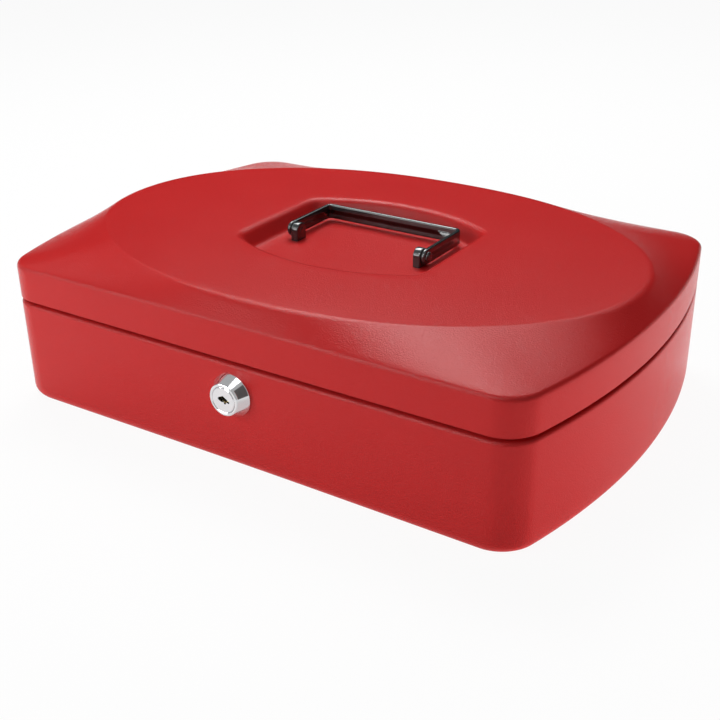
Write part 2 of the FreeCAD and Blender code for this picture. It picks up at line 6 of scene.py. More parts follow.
import bmesh
import bpy
import numpy as np
from mathutils import Matrix, Vector


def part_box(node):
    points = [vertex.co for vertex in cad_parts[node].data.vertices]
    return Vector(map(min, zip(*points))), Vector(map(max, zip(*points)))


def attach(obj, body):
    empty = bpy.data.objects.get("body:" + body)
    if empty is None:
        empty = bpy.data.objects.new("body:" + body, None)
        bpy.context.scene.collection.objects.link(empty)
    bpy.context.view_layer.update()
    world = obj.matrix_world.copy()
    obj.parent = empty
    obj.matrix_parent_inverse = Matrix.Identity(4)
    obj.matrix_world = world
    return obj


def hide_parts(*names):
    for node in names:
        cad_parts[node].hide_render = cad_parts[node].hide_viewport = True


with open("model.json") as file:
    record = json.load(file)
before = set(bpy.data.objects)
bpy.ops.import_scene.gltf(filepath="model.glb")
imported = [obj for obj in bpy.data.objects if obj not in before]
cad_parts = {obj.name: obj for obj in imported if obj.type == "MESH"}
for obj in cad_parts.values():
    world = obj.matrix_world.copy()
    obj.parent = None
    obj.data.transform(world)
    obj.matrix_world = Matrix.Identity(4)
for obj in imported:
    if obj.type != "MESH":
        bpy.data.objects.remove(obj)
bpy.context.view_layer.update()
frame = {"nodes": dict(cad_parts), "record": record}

MM = 0.001
HAIR = 0.001 * MM

# Pressed sheet and the plan of the box
SHEET = 1.0 * MM
SIDE_BOW = 16.0 * MM
CORNER = 17.0 * MM
lid_low, lid_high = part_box("lid_shell")
body_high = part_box("body_shell")[1]
HALF_X, HALF_Y = lid_high.x, lid_high.y

# Levels of the lid
SEAM_LIFT = 0.5 * MM
LID_EDGE, LID_TOP = lid_low.z + SEAM_LIFT, lid_high.z
LID_RISE = 8.8 * MM
LID_RIM = LID_TOP - LID_RISE
LID_RIM_ROUND = 2.5 * MM
PLATEAU_X, PLATEAU_Y = HALF_X - 9.0 * MM, HALF_Y - 7.5 * MM
PLATEAU_ROUND = 6.0 * MM

# Handle recess in the lid
RECESS_X, RECESS_Y = 51.0 * MM, 46.0 * MM
RECESS_BOW, RECESS_CORNER = 15.0 * MM, 9.0 * MM
RECESS_DEPTH, RECESS_SLOPE = 8.5 * MM, 5.0 * MM
RECESS_FLOOR = LID_TOP - RECESS_DEPTH
RECESS_FLOOR_ROUND, RECESS_LIP_ROUND = 3.0 * MM, 4.5 * MM
LUG_FOOT = RECESS_FLOOR - 0.3 * MM

# Levels of the body
RIM_TOP = body_high.z
SHOULDER = 50.9 * MM
SHOULDER_ROUND, FLOOR_ROUND, NECK_ROUND = 1.9 * MM, 5.0 * MM, 1.4 * MM
GROOVE_ROUND = 0.3 * MM
NECK_INSET, MOUTH_INSET = 2.6 * MM, 6.6 * MM

# Hinge cut-outs in the back and the lock hole in the front
HINGE_HALF = 23.0 * MM
pin_low, pin_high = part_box("hinge_pin_right")
HINGE_X = (pin_low.x + pin_high.x) / 2
HINGE_Z = (pin_low.z + pin_high.z) / 2
BODY_NOTCH, LID_NOTCH = HINGE_Z - 2.8 * MM, HINGE_Z + 2.8 * MM
collar_low, collar_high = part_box("lock_housing")
LOCK_Z = (collar_low.z + collar_high.z) / 2
LOCK_HOLE, LOCK_BLOCK = 7.9 * MM, 11.2 * MM

# Lock collar and plug
LOCK_FACE, BARREL_REAR = collar_low.y, collar_high.y
COLLAR_BASE, COLLAR_FACE, BARREL = 10.2 * MM, 7.3 * MM, 7.8 * MM
COLLAR_FOOT, BORE, BORE_CHAMFER = 0.7 * MM, 6.05 * MM, 0.35 * MM
PLUG, PLUG_SHOULDER, TAIL = 6.0 * MM, BARREL_REAR + 0.4 * MM, 2.8 * MM
plug_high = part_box("lock_plug")[1]
KEYWAY_DEPTH = 10.0 * MM

# Satin panel on the collar: bearings about the lock's axis in radians, and places along it
PANEL_START, PANEL_END, PANEL_FADE = 0.25, 0.80, 0.03
PANEL_FRONT, PANEL_REAR, PANEL_EDGE = -107.75 * MM, -103.35 * MM, 0.15 * MM

# Handle, its lugs and rivets
STRIP, HANDLE_BEND, STRIP_EDGE, LUG_EDGE = 2.0 * MM, 3.2 * MM, 0.8 * MM, 0.6 * MM
handle_low, handle_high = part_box("handle_strip")
HANDLE_END = (handle_high.z - handle_low.z) / 2
PIVOT_Y, PIVOT_Z = handle_low.y + HANDLE_END, (handle_high.z + handle_low.z) / 2
TENON, RIVET, RIVET_HEAD = 1.6 * MM, 1.4 * MM, 2.5 * MM


# Surfaces
def new_piece(name, points, faces, finish):
    """A mesh object at the origin from an array of points and a list of faces."""
    mesh = bpy.data.meshes.new(name)
    mesh.from_pydata(points.tolist(), [], faces.tolist() if isinstance(faces, np.ndarray) else faces)
    mesh.validate()
    piece = bpy.data.objects.new(name, mesh)
    bpy.context.scene.collection.objects.link(piece)
    mesh.materials.append(finish)
    return piece


def grid_faces(rows, columns, closed, flip):
    """Quads of a grid of rows by columns, as an array (rows - 1, columns, 4).

    Each quad joins a point with its neighbours in the next row and column, and closed joins the last column
    to the first.
    """
    r = np.arange(rows - 1)[:, None]
    c = np.arange(columns if closed else columns - 1)[None, :]
    n = (c + 1) % columns
    here, below = r * columns, (r + 1) * columns
    quads = np.stack([here + c, below + c, below + n, here + n], axis=-1)
    return quads[..., ::-1] if flip else quads


def settle(piece, thickness=0.0, bevel=0.0, sharp=38.0):
    """Gives a sheet its thickness inwards and rounded edges, makes that its own mesh and smooths it."""
    if thickness:
        wall = piece.modifiers.new("wall", "SOLIDIFY")
        wall.thickness, wall.offset, wall.use_even_offset = thickness, -1.0, True
        wall.use_quality_normals = True
    if bevel:
        edge = piece.modifiers.new("edge", "BEVEL")
        edge.width, edge.segments, edge.limit_method = bevel, 2, "ANGLE"
        edge.angle_limit = math.radians(sharp)
        edge.use_clamp_overlap = True
    bpy.context.view_layer.update()
    ready = piece.evaluated_get(bpy.context.evaluated_depsgraph_get())
    old, mesh = piece.data, bpy.data.meshes.new_from_object(ready)
    piece.modifiers.clear()
    piece.data = mesh
    bpy.data.meshes.remove(old)
    mesh.name = piece.name
    mesh.shade_smooth()
    mesh.set_sharp_from_angle(angle=math.radians(sharp))
    return piece


def place(piece, body, slot, *nodes):
    """Rides a piece on its body, in the place of its CAD nodes."""
    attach(piece, body)
    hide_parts(*nodes)
    return piece


def bowed_outline(half_x, half_y, bow, corner, steps):
    """A rectangle with rounded corners whose sides at plus and minus X bow outwards as circular arcs.

    The outline runs counter-clockwise in eight stretches from the front left: line, corner, bow, corner,
    line, corner, bow, corner.  steps holds the fractions along each stretch.  Returns points, outward
    normals, the stretch of each point and its fraction.
    """
    bow_radius = (half_y ** 2 + bow ** 2) / (2 * bow)
    middle = half_x - bow_radius
    corner_y = half_y - corner
    corner_x = middle + math.sqrt((bow_radius - corner) ** 2 - corner_y ** 2)
    spread = math.atan2(corner_y, corner_x - middle)
    quarter = math.pi / 2
    arcs = {
        1: (corner_x, -corner_y, corner, -quarter, -spread),
        2: (middle, 0.0, bow_radius, -spread, spread),
        3: (corner_x, corner_y, corner, spread, quarter),
        5: (-corner_x, corner_y, corner, quarter, 2 * quarter - spread),
        6: (-middle, 0.0, bow_radius, 2 * quarter - spread, 2 * quarter + spread),
        7: (-corner_x, -corner_y, corner, 2 * quarter + spread, 3 * quarter),
    }
    points, normals, stretch, fraction = [], [], [], []
    for k, t in enumerate(steps):
        if k in arcs:
            x, y, radius, start, end = arcs[k]
            angle = start + t * (end - start)
            normal = np.stack([np.cos(angle), np.sin(angle)], axis=1)
            point = np.array([x, y]) + radius * normal
        else:
            side = -1.0 if k == 0 else 1.0
            point = np.stack([side * corner_x * (1 - 2 * t), np.full_like(t, side * half_y)], axis=1)
            normal = np.tile([0.0, side], (len(t), 1))
        points.append(point)
        normals.append(normal)
        stretch.append(np.full(len(t), k))
        fraction.append(t)
    return [np.concatenate(part) for part in (points, normals, stretch, fraction)], corner_x


def even(count):
    """Fractions from 0 up to, but without, 1."""
    return np.arange(count) / count


def line_steps(reach, count, stops, side):
    """Fractions along a straight stretch that include the given stops, which are X in metres."""
    x = np.concatenate([np.linspace(-reach, reach, count), stops])
    x = np.unique(np.round(x, 7))
    near = np.min(np.abs(x[:, None] - np.asarray(stops)[None, :]), axis=1) if len(stops) else np.ones(len(x))
    x = x[(near < 1e-6) | (near > 1.2 * MM)]
    t = (x / reach + 1) / 2 if side < 0 else (1 - x / reach) / 2
    t = np.sort(t)
    return t[t < 1 - 1e-6]


HINGE_EDGES = np.array([s * HINGE_X + e * HINGE_HALF for s in (-1, 1) for e in (-1, 1)])
BLOCK_STEPS = np.array([0.0, 2.7, 5.4, 7.9, 8.8, 9.9, 11.2]) * MM
BLOCK_EDGES = np.concatenate([-BLOCK_STEPS[:0:-1], BLOCK_STEPS])


def plan_steps():
    """Fractions round the plan of the box, with columns at the hinge cut-outs and beside the lock."""
    _, reach = bowed_outline(HALF_X, HALF_Y, SIDE_BOW, CORNER, [even(1)] * 8)
    front = line_steps(reach, 56, BLOCK_EDGES, -1)
    back = line_steps(reach, 56, HINGE_EDGES, 1)
    return [front, even(18), even(64), even(18), back, even(18), even(64), even(18)]


PLAN, PLAN_OUT, PLAN_STRETCH, PLAN_FRACTION = bowed_outline(HALF_X, HALF_Y, SIDE_BOW, CORNER, plan_steps())[0]


def lift(flat, z):
    """Points of a plan at one height."""
    return np.column_stack([flat, np.full(len(flat), z)])


def unit(vectors):
    """Vectors scaled to length one."""
    return vectors / np.maximum(np.linalg.norm(vectors, axis=1, keepdims=True), 1e-12)


def rounded_rows(corners, rounds, cuts, arc_steps=7):
    """Rows of a surface that runs, column by column, through corner points with rounded bends.

    Each bend is the circular arc tangent to its two straight runs, of the given radius or less where a run is
    short.  cuts gives how many equal parts each straight run has.
    """
    rows = []
    leave = corners[0]
    for i in range(1, len(corners)):
        here = corners[i]
        if i == len(corners) - 1 or rounds[i] == 0:
            arrive, arc = here, []
        else:
            before, after = here - corners[i - 1], corners[i + 1] - here
            into, out = unit(before), unit(after)
            cosine = np.clip(np.sum(into * out, axis=1), -1, 1)
            turn = np.arccos(cosine)
            room = 0.78 * np.minimum(np.linalg.norm(before, axis=1), np.linalg.norm(after, axis=1))
            tangent = np.minimum(rounds[i] * np.tan(turn / 2), room)
            radius = tangent / np.maximum(np.tan(turn / 2), 1e-9)
            side = unit(out - cosine[:, None] * into)
            arrive = here - into * tangent[:, None]
            arc = []
            for share in np.linspace(0, 1, arc_steps)[1:]:
                angle = (turn * share)[:, None]
                arc.append(arrive + radius[:, None] * (np.sin(angle) * into + (1 - np.cos(angle)) * side))
        for share in np.linspace(0, 1, cuts[i - 1] + 1)[:-1]:
            rows.append(leave + (arrive - leave) * share)
        leave = arrive
        if arc:
            rows.append(arrive)
            rows.extend(arc[:-1])
            leave = arc[-1]
    rows.append(leave)
    return np.stack(rows)


def sheet_piece(name, rows, pole, drop, flip, finish):
    """A sheet of closed rings round a pole point, without the dropped cells."""
    count, columns = rows.shape[:2]
    faces = grid_faces(count, columns, True, flip)
    kept = faces[~drop].reshape(-1, 4)
    points = np.concatenate([rows.reshape(-1, 3), [pole]])
    ring = np.arange(columns)
    fan = np.stack([np.full(columns, count * columns), ring, (ring + 1) % columns], axis=1)
    fan = fan[:, ::-1] if flip else fan
    return new_piece(name, points, kept.tolist() + fan.tolist(), finish)


def closed_piece(name, rows, finish, poles=True, merge=0.0):
    """A closed skin from rings: the two ends run into the middles of their rings, or into each other."""
    count, columns = rows.shape[:2]
    points = rows.reshape(-1, 3)
    if poles:
        quads = grid_faces(count, columns, True, False).reshape(-1, 4)
        ring = np.arange(columns)
        after = (ring + 1) % columns
        last = (count - 1) * columns
        first_fan = np.stack([np.full(columns, count * columns), ring, after], axis=1)
        last_fan = np.stack([np.full(columns, count * columns + 1), last + after, last + ring], axis=1)
        fans = np.concatenate([first_fan, last_fan])
        points = np.concatenate([points, [rows[0].mean(axis=0), rows[-1].mean(axis=0)]])
    else:
        quads = grid_faces(count + 1, columns, True, False).reshape(-1, 4) % (count * columns)
        fans = np.zeros((0, 3), int)
    inside = points.mean(axis=0)
    a, b, c, d = [points[quads[:, i]] - inside for i in range(4)]
    volume = np.sum(a * np.cross(b, c)) + np.sum(a * np.cross(c, d))
    if volume < 0:
        quads, fans = quads[:, ::-1], fans[:, ::-1]
    piece = new_piece(name, points, quads.tolist() + fans.tolist(), finish)
    if merge:
        skin = bmesh.new()
        skin.from_mesh(piece.data)
        bmesh.ops.remove_doubles(skin, verts=skin.verts, dist=merge)
        skin.to_mesh(piece.data)
        skin.free()
    return piece


def smooth(piece, sharp=38.0):
    """Smooth shading with creases only where faces meet more steeply than the given angle."""
    piece.data.shade_smooth()
    piece.data.set_sharp_from_angle(angle=math.radians(sharp))
    return piece


def ring_about(axis, centre, radius, along, columns=96):
    """A circle of a radius round a line along X or Y through a centre, at one place along it."""
    angle = 2 * math.pi * even(columns)
    across, upward = centre[0] + radius * np.cos(angle), centre[1] + radius * np.sin(angle)
    level = np.full(columns, along)
    return np.column_stack([level, across, upward] if axis == "X" else [across, level, upward])


def edge_profile(half, edge, steps=5):
    """Insets and depths over the rounded edge of a plate: a quarter circle up and a quarter circle down."""
    turn = np.linspace(0, math.pi / 2, steps)
    inset = edge * (1 - np.sin(turn))
    depth = half - edge * (1 - np.cos(turn))
    return np.concatenate([inset, inset[::-1]]), np.concatenate([depth, -depth[::-1]])


def in_hinge_cut(middle):
    """Whether a cell's middle lies at the back between the sides of a hinge cut-out."""
    across = np.abs(np.abs(middle[..., 0]) - HINGE_X) < HINGE_HALF
    return across & (middle[..., 1] > HALF_Y - MOUTH_INSET - MM)


def cell_middles(rows):
    """The middle of every cell of a closed grid."""
    following = np.roll(rows, -1, axis=1)
    return (rows[:-1] + rows[1:] + following[:-1] + following[1:]) / 4


def make_lid(finish):
    """The pressed lid as one sheet.

    Every column runs from the recess floor through the recess wall, plateau, flank and band.  The edge of
    the plateau is an ellipse whose angle goes evenly along each stretch of the rim, so the flanks are ruled
    surfaces between rim and ellipse.  The recess follows its own bowed outline at the polar angle of the
    plateau's point.
    """
    starts = np.array([np.flatnonzero(PLAN_STRETCH == k)[0] for k in range(8)])
    angle = np.unwrap(np.arctan2(PLAN[starts, 1] / PLATEAU_Y, PLAN[starts, 0] / PLATEAU_X))
    angle = np.append(angle, angle[0] + 2 * math.pi)
    theta = angle[PLAN_STRETCH] + PLAN_FRACTION * np.diff(angle)[PLAN_STRETCH]
    plateau = np.stack([PLATEAU_X * np.cos(theta), PLATEAU_Y * np.sin(theta)], axis=1)
    outline, _ = bowed_outline(RECESS_Y, RECESS_X, RECESS_BOW, RECESS_CORNER, [even(240)] * 8)
    dense, dense_out = outline[:2]
    dense = np.stack([-dense[:, 1], dense[:, 0]], axis=1)
    dense_out = np.stack([-dense_out[:, 1], dense_out[:, 0]], axis=1)
    polar = np.arctan2(dense[:, 1], dense[:, 0])
    order = np.argsort(polar)
    bearing = np.arctan2(plateau[:, 1], plateau[:, 0])

    def at_bearing(values):
        """Values of the recess outline at the plateau points' polar angles."""
        known, turn = polar[order], 2 * math.pi
        across = np.interp(bearing, known, values[order, 0], period=turn)
        along = np.interp(bearing, known, values[order, 1], period=turn)
        return np.stack([across, along], axis=1)

    lip = at_bearing(dense)
    foot = lip - RECESS_SLOPE * unit(at_bearing(dense_out))
    corners = [
        lift(0.25 * foot, RECESS_FLOOR),
        lift(foot, RECESS_FLOOR),
        lift(lip, LID_TOP),
        lift(plateau, LID_TOP),
        lift(PLAN, LID_RIM),
        lift(PLAN, LID_NOTCH),
        lift(PLAN, LID_EDGE),
    ]
    rounds = [0, RECESS_FLOOR_ROUND, RECESS_LIP_ROUND, PLATEAU_ROUND, LID_RIM_ROUND, 0, 0]
    rows = rounded_rows(corners, rounds, [4, 4, 10, 8, 5, 1])
    middle = cell_middles(rows)
    drop = in_hinge_cut(middle) & (middle[..., 2] < LID_NOTCH)
    lid = sheet_piece("lid_pressing", rows, (0, 0, RECESS_FLOOR), drop, False, finish)
    return settle(lid, SHEET)


def make_body(finish):
    """The drawn body as one sheet: a section of inset and height carried round the plan."""
    def ring(inset, z):
        """The plan drawn in by an inset, at one height."""
        return lift(PLAN - inset * PLAN_OUT, z)

    corners = [
        lift(0.3 * PLAN, 0.0),
        ring(0.0, 0.0),
        ring(0.0, LOCK_Z - LOCK_BLOCK),
        ring(0.0, LOCK_Z + LOCK_BLOCK - HAIR),
        ring(0.0, BODY_NOTCH),
        ring(0.0, SHOULDER),
        ring(NECK_INSET, SHOULDER),
        ring(NECK_INSET, RIM_TOP),
        ring(MOUTH_INSET, RIM_TOP),
    ]
    rounds = [0, FLOOR_ROUND, 0, 0, 0, SHOULDER_ROUND, GROOVE_ROUND, NECK_ROUND, 0]
    rows = rounded_rows(corners, rounds, [6, 4, 12, 1, 1, 1, 3, 2])
    level = rows[:, 0, 2]
    first = int(np.argmin(np.abs(level - (LOCK_Z - LOCK_BLOCK))))
    rows[first:first + len(BLOCK_EDGES), :, 2] = (LOCK_Z + BLOCK_EDGES)[:, None]
    middle = cell_middles(rows)
    front = middle[..., 1] < -HALF_Y + 0.01 * MM
    reach = np.maximum(np.abs(middle[..., 0]), np.abs(middle[..., 2] - LOCK_Z))
    drop = front & (reach < LOCK_HOLE)
    drop |= in_hinge_cut(middle) & (middle[..., 2] > BODY_NOTCH)
    wall = rows[..., 1] < -HALF_Y + HAIR
    flat = rows[..., [0, 2]]
    pierced = rounded_hole(flat, (0.0, LOCK_Z), LOCK_HOLE, LOCK_BLOCK)
    rows[..., [0, 2]] = np.where(wall[..., None], pierced, flat)
    body = sheet_piece("body_pressing", rows, (0, 0, 0), drop, True, finish)
    return settle(body, SHEET)


def rounded_hole(points, centre, hole, block):
    """Draws the squares round a centre into circles, wholly at the hole and not at all at the block."""
    offset = points - np.asarray(centre)
    square = np.max(np.abs(offset), axis=-1)
    circle = np.maximum(np.linalg.norm(offset, axis=-1), 1e-9)
    share = np.clip((block - square) / (block - hole), 0, 1)
    factor = 1 + share * (square / circle - 1)
    return np.asarray(centre) + offset * factor[..., None]


def make_handle(finish):
    """The bail: a flat strip on edge, carried along one leg, round a bend, along the bar and back down.

    Round the strip's outline the half height is that of a plate with half-round ends.  Every ring of the edge
    profile shrinks that outline by its inset and stands off the middle line by its depth.
    """
    leg_x, bar_y, bend = handle_high.x - STRIP / 2, handle_high.y - STRIP / 2, HANDLE_BEND - STRIP / 2
    end_turn = np.linspace(0, math.pi / 2, 13)
    leg_y = np.linspace(PIVOT_Y, bar_y - bend, 9)[1:-1]
    bend_turn = np.linspace(math.pi, math.pi / 2, 10)
    bar_x = np.linspace(-(leg_x - bend), 0, 12)[1:]
    turned = np.cos(bend_turn), np.sin(bend_turn)
    x = np.concatenate([np.full(13 + len(leg_y), -leg_x), -(leg_x - bend) + bend * turned[0], bar_x])
    bend_y = bar_y - bend + bend * turned[1]
    y = np.concatenate([np.full(13, PIVOT_Y), leg_y, bend_y, np.full(len(bar_x), bar_y)])
    out_x = np.concatenate([np.full(13 + len(leg_y), -1.0), turned[0], np.zeros(len(bar_x))])
    out_y = np.concatenate([np.zeros(13 + len(leg_y)), turned[1], np.ones(len(bar_x))])
    drop = np.concatenate([np.cos(end_turn), np.zeros(len(x) - 13)])
    rise = np.concatenate([np.sin(end_turn), np.ones(len(x) - 13)])

    def around(values, mirror):
        """The left half's values, the right half's and both again along the lower edge."""
        upper = np.concatenate([values, mirror * values[-2::-1]])
        return upper, upper[-2:0:-1]

    (x_up, x_low), (y_up, y_low) = around(x, -1), around(y, 1)
    (ox_up, ox_low), (oy_up, oy_low) = around(out_x, -1), around(out_y, 1)
    (drop_up, drop_low), (rise_up, rise_low) = around(drop, 1), around(rise, 1)
    line = np.column_stack([np.concatenate([x_up, x_low]), np.concatenate([y_up, y_low])])
    out = np.column_stack([np.concatenate([ox_up, ox_low]), np.concatenate([oy_up, oy_low])])
    fall = np.concatenate([drop_up, drop_low])
    height = np.concatenate([rise_up, -rise_low])
    inset, depth = edge_profile(STRIP / 2, STRIP_EDGE)
    shares = np.concatenate([[0.0, 0.5], np.ones(len(inset)), [0.5, 0.0]])
    inset = np.concatenate([inset[:1], inset[:1], inset, inset[-1:], inset[-1:]])
    depth = np.concatenate([depth[:1], depth[:1], depth, depth[-1:], depth[-1:]])
    reach = HANDLE_END - inset[:, None]
    rows = np.empty((len(inset), len(line), 3))
    rows[..., 0] = line[:, 0] + depth[:, None] * out[:, 0]
    rows[..., 1] = line[:, 1] + depth[:, None] * out[:, 1] - reach * fall
    rows[..., 2] = PIVOT_Z + reach * height * shares[:, None]
    return smooth(closed_piece("handle_bail", rows, finish, False, 0.1 * HAIR))


def make_lug(side, finish):
    """A round-topped post: an arch carried over the rounded edge of a plate."""
    low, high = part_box("handle_lug_left" if side < 0 else "handle_lug_right")
    middle, half = (low.x + high.x) / 2, (high.x - low.x) / 2
    radius = (high.y - low.y) / 2
    arch = np.linspace(0, math.pi, 25)
    rows = []
    for inset, depth in zip(*edge_profile(half, LUG_EDGE)):
        width = radius - inset
        sides = np.linspace(LUG_FOOT + inset, PIVOT_Z, 6)[:-1]
        across = np.concatenate([np.full(5, width), width * np.cos(arch), np.full(5, -width)])
        upward = np.concatenate([sides, PIVOT_Z + width * np.sin(arch), sides[::-1]])
        rows.append(np.column_stack([np.full(len(across), middle + depth), PIVOT_Y + across, upward]))
    return smooth(closed_piece("handle_post_" + ("left" if side < 0 else "right"), np.stack(rows), finish))


def make_tenons(finish):
    """The lugs' tenons under the lid: a round bar with a spread end, turned about an upright line, twice."""
    low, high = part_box("handle_lug_right")
    angle = 2 * math.pi * even(28)
    level = np.array([low.z - 0.25 * MM, low.z - 0.15 * MM, low.z + 0.3 * MM, LUG_FOOT])
    radius = np.array([0.6, 1.25, 1.0, 1.0]) * TENON
    rows = np.empty((4, 28, 3))
    rows[..., 0] = (low.x + high.x) / 2 + radius[:, None] * np.cos(angle)
    rows[..., 1] = PIVOT_Y + radius[:, None] * np.sin(angle)
    rows[..., 2] = level[:, None]
    right = smooth(closed_piece("tenon_right", rows, finish))
    left = smooth(closed_piece("tenon_left", rows * [-1, 1, 1], finish))
    return left, right


def make_rivet(side, finish):
    """A rivet turned about the pivot: a domed head outside the strip, the shank and a peened end."""
    low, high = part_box("pivot_rivet_left" if side < 0 else "pivot_rivet_right")
    inner, outer = (high.x, low.x) if side < 0 else (low.x, high.x)
    head = handle_high.x + 0.15 * MM
    dome = np.linspace(0, 1, 8)
    spread = RIVET_HEAD / RIVET
    radius = np.concatenate([[0.5, 0.9, 1.0], [1.0, spread], spread * np.sqrt(1 - 0.98 * dome ** 2)])
    rise = abs(outer) - head
    along = np.concatenate([[-0.12, -0.1, 0.0], [0, 0], np.zeros(8)]) * MM + abs(inner)
    along[3:5] = head
    along[5:] = head + 0.15 * rise + 0.85 * rise * dome
    pivot = (PIVOT_Y, PIVOT_Z)
    rows = np.stack([ring_about("X", pivot, r * RIVET, side * x, 40) for r, x in zip(radius, along)])
    return smooth(closed_piece("handle_rivet_" + ("left" if side < 0 else "right"), rows, finish), 50.0)


def lock_ring(radius, along):
    """A circle about the lock's axis."""
    return ring_about("Y", (0.0, LOCK_Z), radius, along, 128)


def make_collar(finish):
    """The collar and barrel: a section of radius and depth, with rounded corners, turned about an axis."""
    front = -HALF_Y
    section = [
        (BORE, BARREL_REAR), (BORE, LOCK_FACE + BORE_CHAMFER), (BORE + BORE_CHAMFER, LOCK_FACE),
        (COLLAR_FACE, LOCK_FACE), (COLLAR_BASE, front - COLLAR_FOOT), (COLLAR_BASE, front), (BARREL, front),
        (BARREL, BARREL_REAR),
    ]
    rounds = [0, 0, 0.12 * MM, 0.55 * MM, 0.3 * MM, 0, 0, 0]
    rows = rounded_rows([lock_ring(*place_at) for place_at in section], rounds, [2, 1, 2, 8, 1, 1, 3])
    return smooth(closed_piece("lock_collar", rows, finish, False), 60.0)


def star_ring(corners, bearing, along):
    """The outline of a polygon seen from its middle at given bearings, at one depth of the lock.

    On each side of the polygon the reach at a bearing is the cross product of the side's ends over the cross
    product of the bearing with the side.
    """
    side = np.roll(corners, -1, axis=0) - corners
    facing = np.stack([np.cos(bearing), np.sin(bearing)], axis=1)
    across = facing[:, None, 0] * side[:, 1] - facing[:, None, 1] * side[:, 0]
    across = np.where(np.abs(across) < 1e-12, 1e-12, across)
    reach = (corners[:, 0] * side[:, 1] - corners[:, 1] * side[:, 0]) / across
    met = reach[..., None] * facing[:, None, :] - corners
    share = np.sum(met * side, axis=2) / np.sum(side ** 2, axis=1)
    on_side = (reach > 0) & (share > -1e-6) & (share < 1 + 1e-6)
    length = np.min(np.where(on_side, reach, 1.0), axis=1)
    across, upward = length * facing[:, 0], LOCK_Z + length * facing[:, 1]
    return np.column_stack([across, np.full(len(bearing), along), upward])


def make_plug(finish):
    """The plug: from the keyway's zigzag out to a circle, back along the barrel and into a square tail."""
    zigzag = np.array([(-2.9, 0.4), (-2.5, -0.3), (-0.8, -1.05), (0.18, -0.62), (0.5, -1.6), (1.15, -1.65),
                       (1.75, -0.6), (3.0, -0.9), (3.4, -0.2), (1.6, 1.0), (0.0, 2.0), (-2.4, 0.95)]) * MM
    square = np.array([(-1, -1), (1, -1), (1, 1), (-1, 1)]) * TAIL
    corner_bearings = np.arctan2(zigzag[:, 1], zigzag[:, 0])
    bearing = np.unique(np.round(np.concatenate([2 * math.pi * even(144) - math.pi, corner_bearings]), 6))

    def circle(radius, along):
        """A circle about the lock's axis at the same bearings."""
        across, upward = radius * np.cos(bearing), LOCK_Z + radius * np.sin(bearing)
        return np.column_stack([across, np.full(len(bearing), along), upward])

    key_rear = LOCK_FACE + KEYWAY_DEPTH
    rows = np.stack([
        star_ring(zigzag, bearing, key_rear),
        star_ring(zigzag, bearing, LOCK_FACE + 0.12 * MM),
        star_ring(zigzag * 1.04, bearing, LOCK_FACE),
        circle(4.2 * MM, LOCK_FACE),
        circle(PLUG - BORE_CHAMFER, LOCK_FACE),
        circle(PLUG, LOCK_FACE + BORE_CHAMFER),
        circle(PLUG, PLUG_SHOULDER),
        star_ring(square, bearing, PLUG_SHOULDER),
        star_ring(square, bearing, plug_high.y),
    ])
    return smooth(closed_piece("lock_cylinder", rows, finish), 30.0)


def softened(node, name, edge, finish):
    """A merged copy of a CAD node with its flat faces joined, its edges rounded and its curves smooth."""
    skin = bmesh.new()
    skin.from_mesh(frame["nodes"][node].data)
    bmesh.ops.remove_doubles(skin, verts=skin.verts, dist=HAIR)
    bmesh.ops.dissolve_limit(skin, angle_limit=math.radians(0.4), verts=skin.verts, edges=skin.edges)
    mesh = bpy.data.meshes.new(name)
    skin.to_mesh(mesh)
    skin.free()
    mesh.materials.clear()
    mesh.materials.append(finish)
    piece = bpy.data.objects.new(name, mesh)
    bpy.context.scene.collection.objects.link(piece)
    return settle(piece, bevel=edge, sharp=32.0)


# Finishes
class Value:
    """A shader value.  Arithmetic on it adds Math nodes to its finish."""

    def __init__(self, finish, socket):
        self.finish, self.socket = finish, socket

    def join(self, operation, first, second):
        """A Math node of two values or numbers."""
        return self.finish.node("ShaderNodeMath", {"operation": operation}, {0: first, 1: second})

    def __add__(self, other):
        return self.join("ADD", self, other)

    def __radd__(self, other):
        return self.join("ADD", other, self)

    def __sub__(self, other):
        return self.join("SUBTRACT", self, other)

    def __rsub__(self, other):
        return self.join("SUBTRACT", other, self)

    def __mul__(self, other):
        return self.join("MULTIPLY", self, other)

    def __rmul__(self, other):
        return self.join("MULTIPLY", other, self)


class Finish:
    """A node tree of a material or the world, with one method that adds a node."""

    def __init__(self, owner):
        owner.use_nodes = True
        self.owner, self.tree = owner, owner.node_tree
        self.tree.nodes.clear()

    def node(self, kind, settings=None, inputs=None, output=0):
        """Adds a node, sets it, fills its sockets with numbers or links, and returns one of its outputs."""
        made = self.tree.nodes.new(kind)
        for name, value in (settings or {}).items():
            setattr(made, name, value)
        for name, value in (inputs or {}).items():
            if isinstance(value, Value):
                self.tree.links.new(value.socket, made.inputs[name])
            else:
                made.inputs[name].default_value = value
        return Value(self, made.outputs[output]) if made.outputs else None

    def noise(self, where, scale, detail=2.0):
        """Noise from 0 to 1 at a place, in features per metre."""
        return self.node("ShaderNodeTexNoise", {"noise_dimensions": "3D"},
                         {"Vector": where, "Scale": scale, "Detail": detail})

    def axis(self, where, index):
        """One of the three coordinates of a place."""
        return self.node("ShaderNodeSeparateXYZ", None, {0: where}, output=index)

    def step(self, value, low, high):
        """Rises smoothly from 0 at low to 1 at high."""
        return self.node("ShaderNodeMapRange", {"interpolation_type": "SMOOTHSTEP"},
                         {"Value": value, "From Min": low, "From Max": high})

    def between(self, factor, first, second):
        """A colour between two."""
        return self.node("ShaderNodeMix", {"data_type": "RGBA"}, {0: factor, 6: first, 7: second}, output=2)

    def surface(self, inputs):
        """Ends the material in one shader with the given inputs."""
        shader = self.node("ShaderNodeBsdfPrincipled", None, inputs)
        self.node("ShaderNodeOutputMaterial", None, {"Surface": shader})
        return self.owner


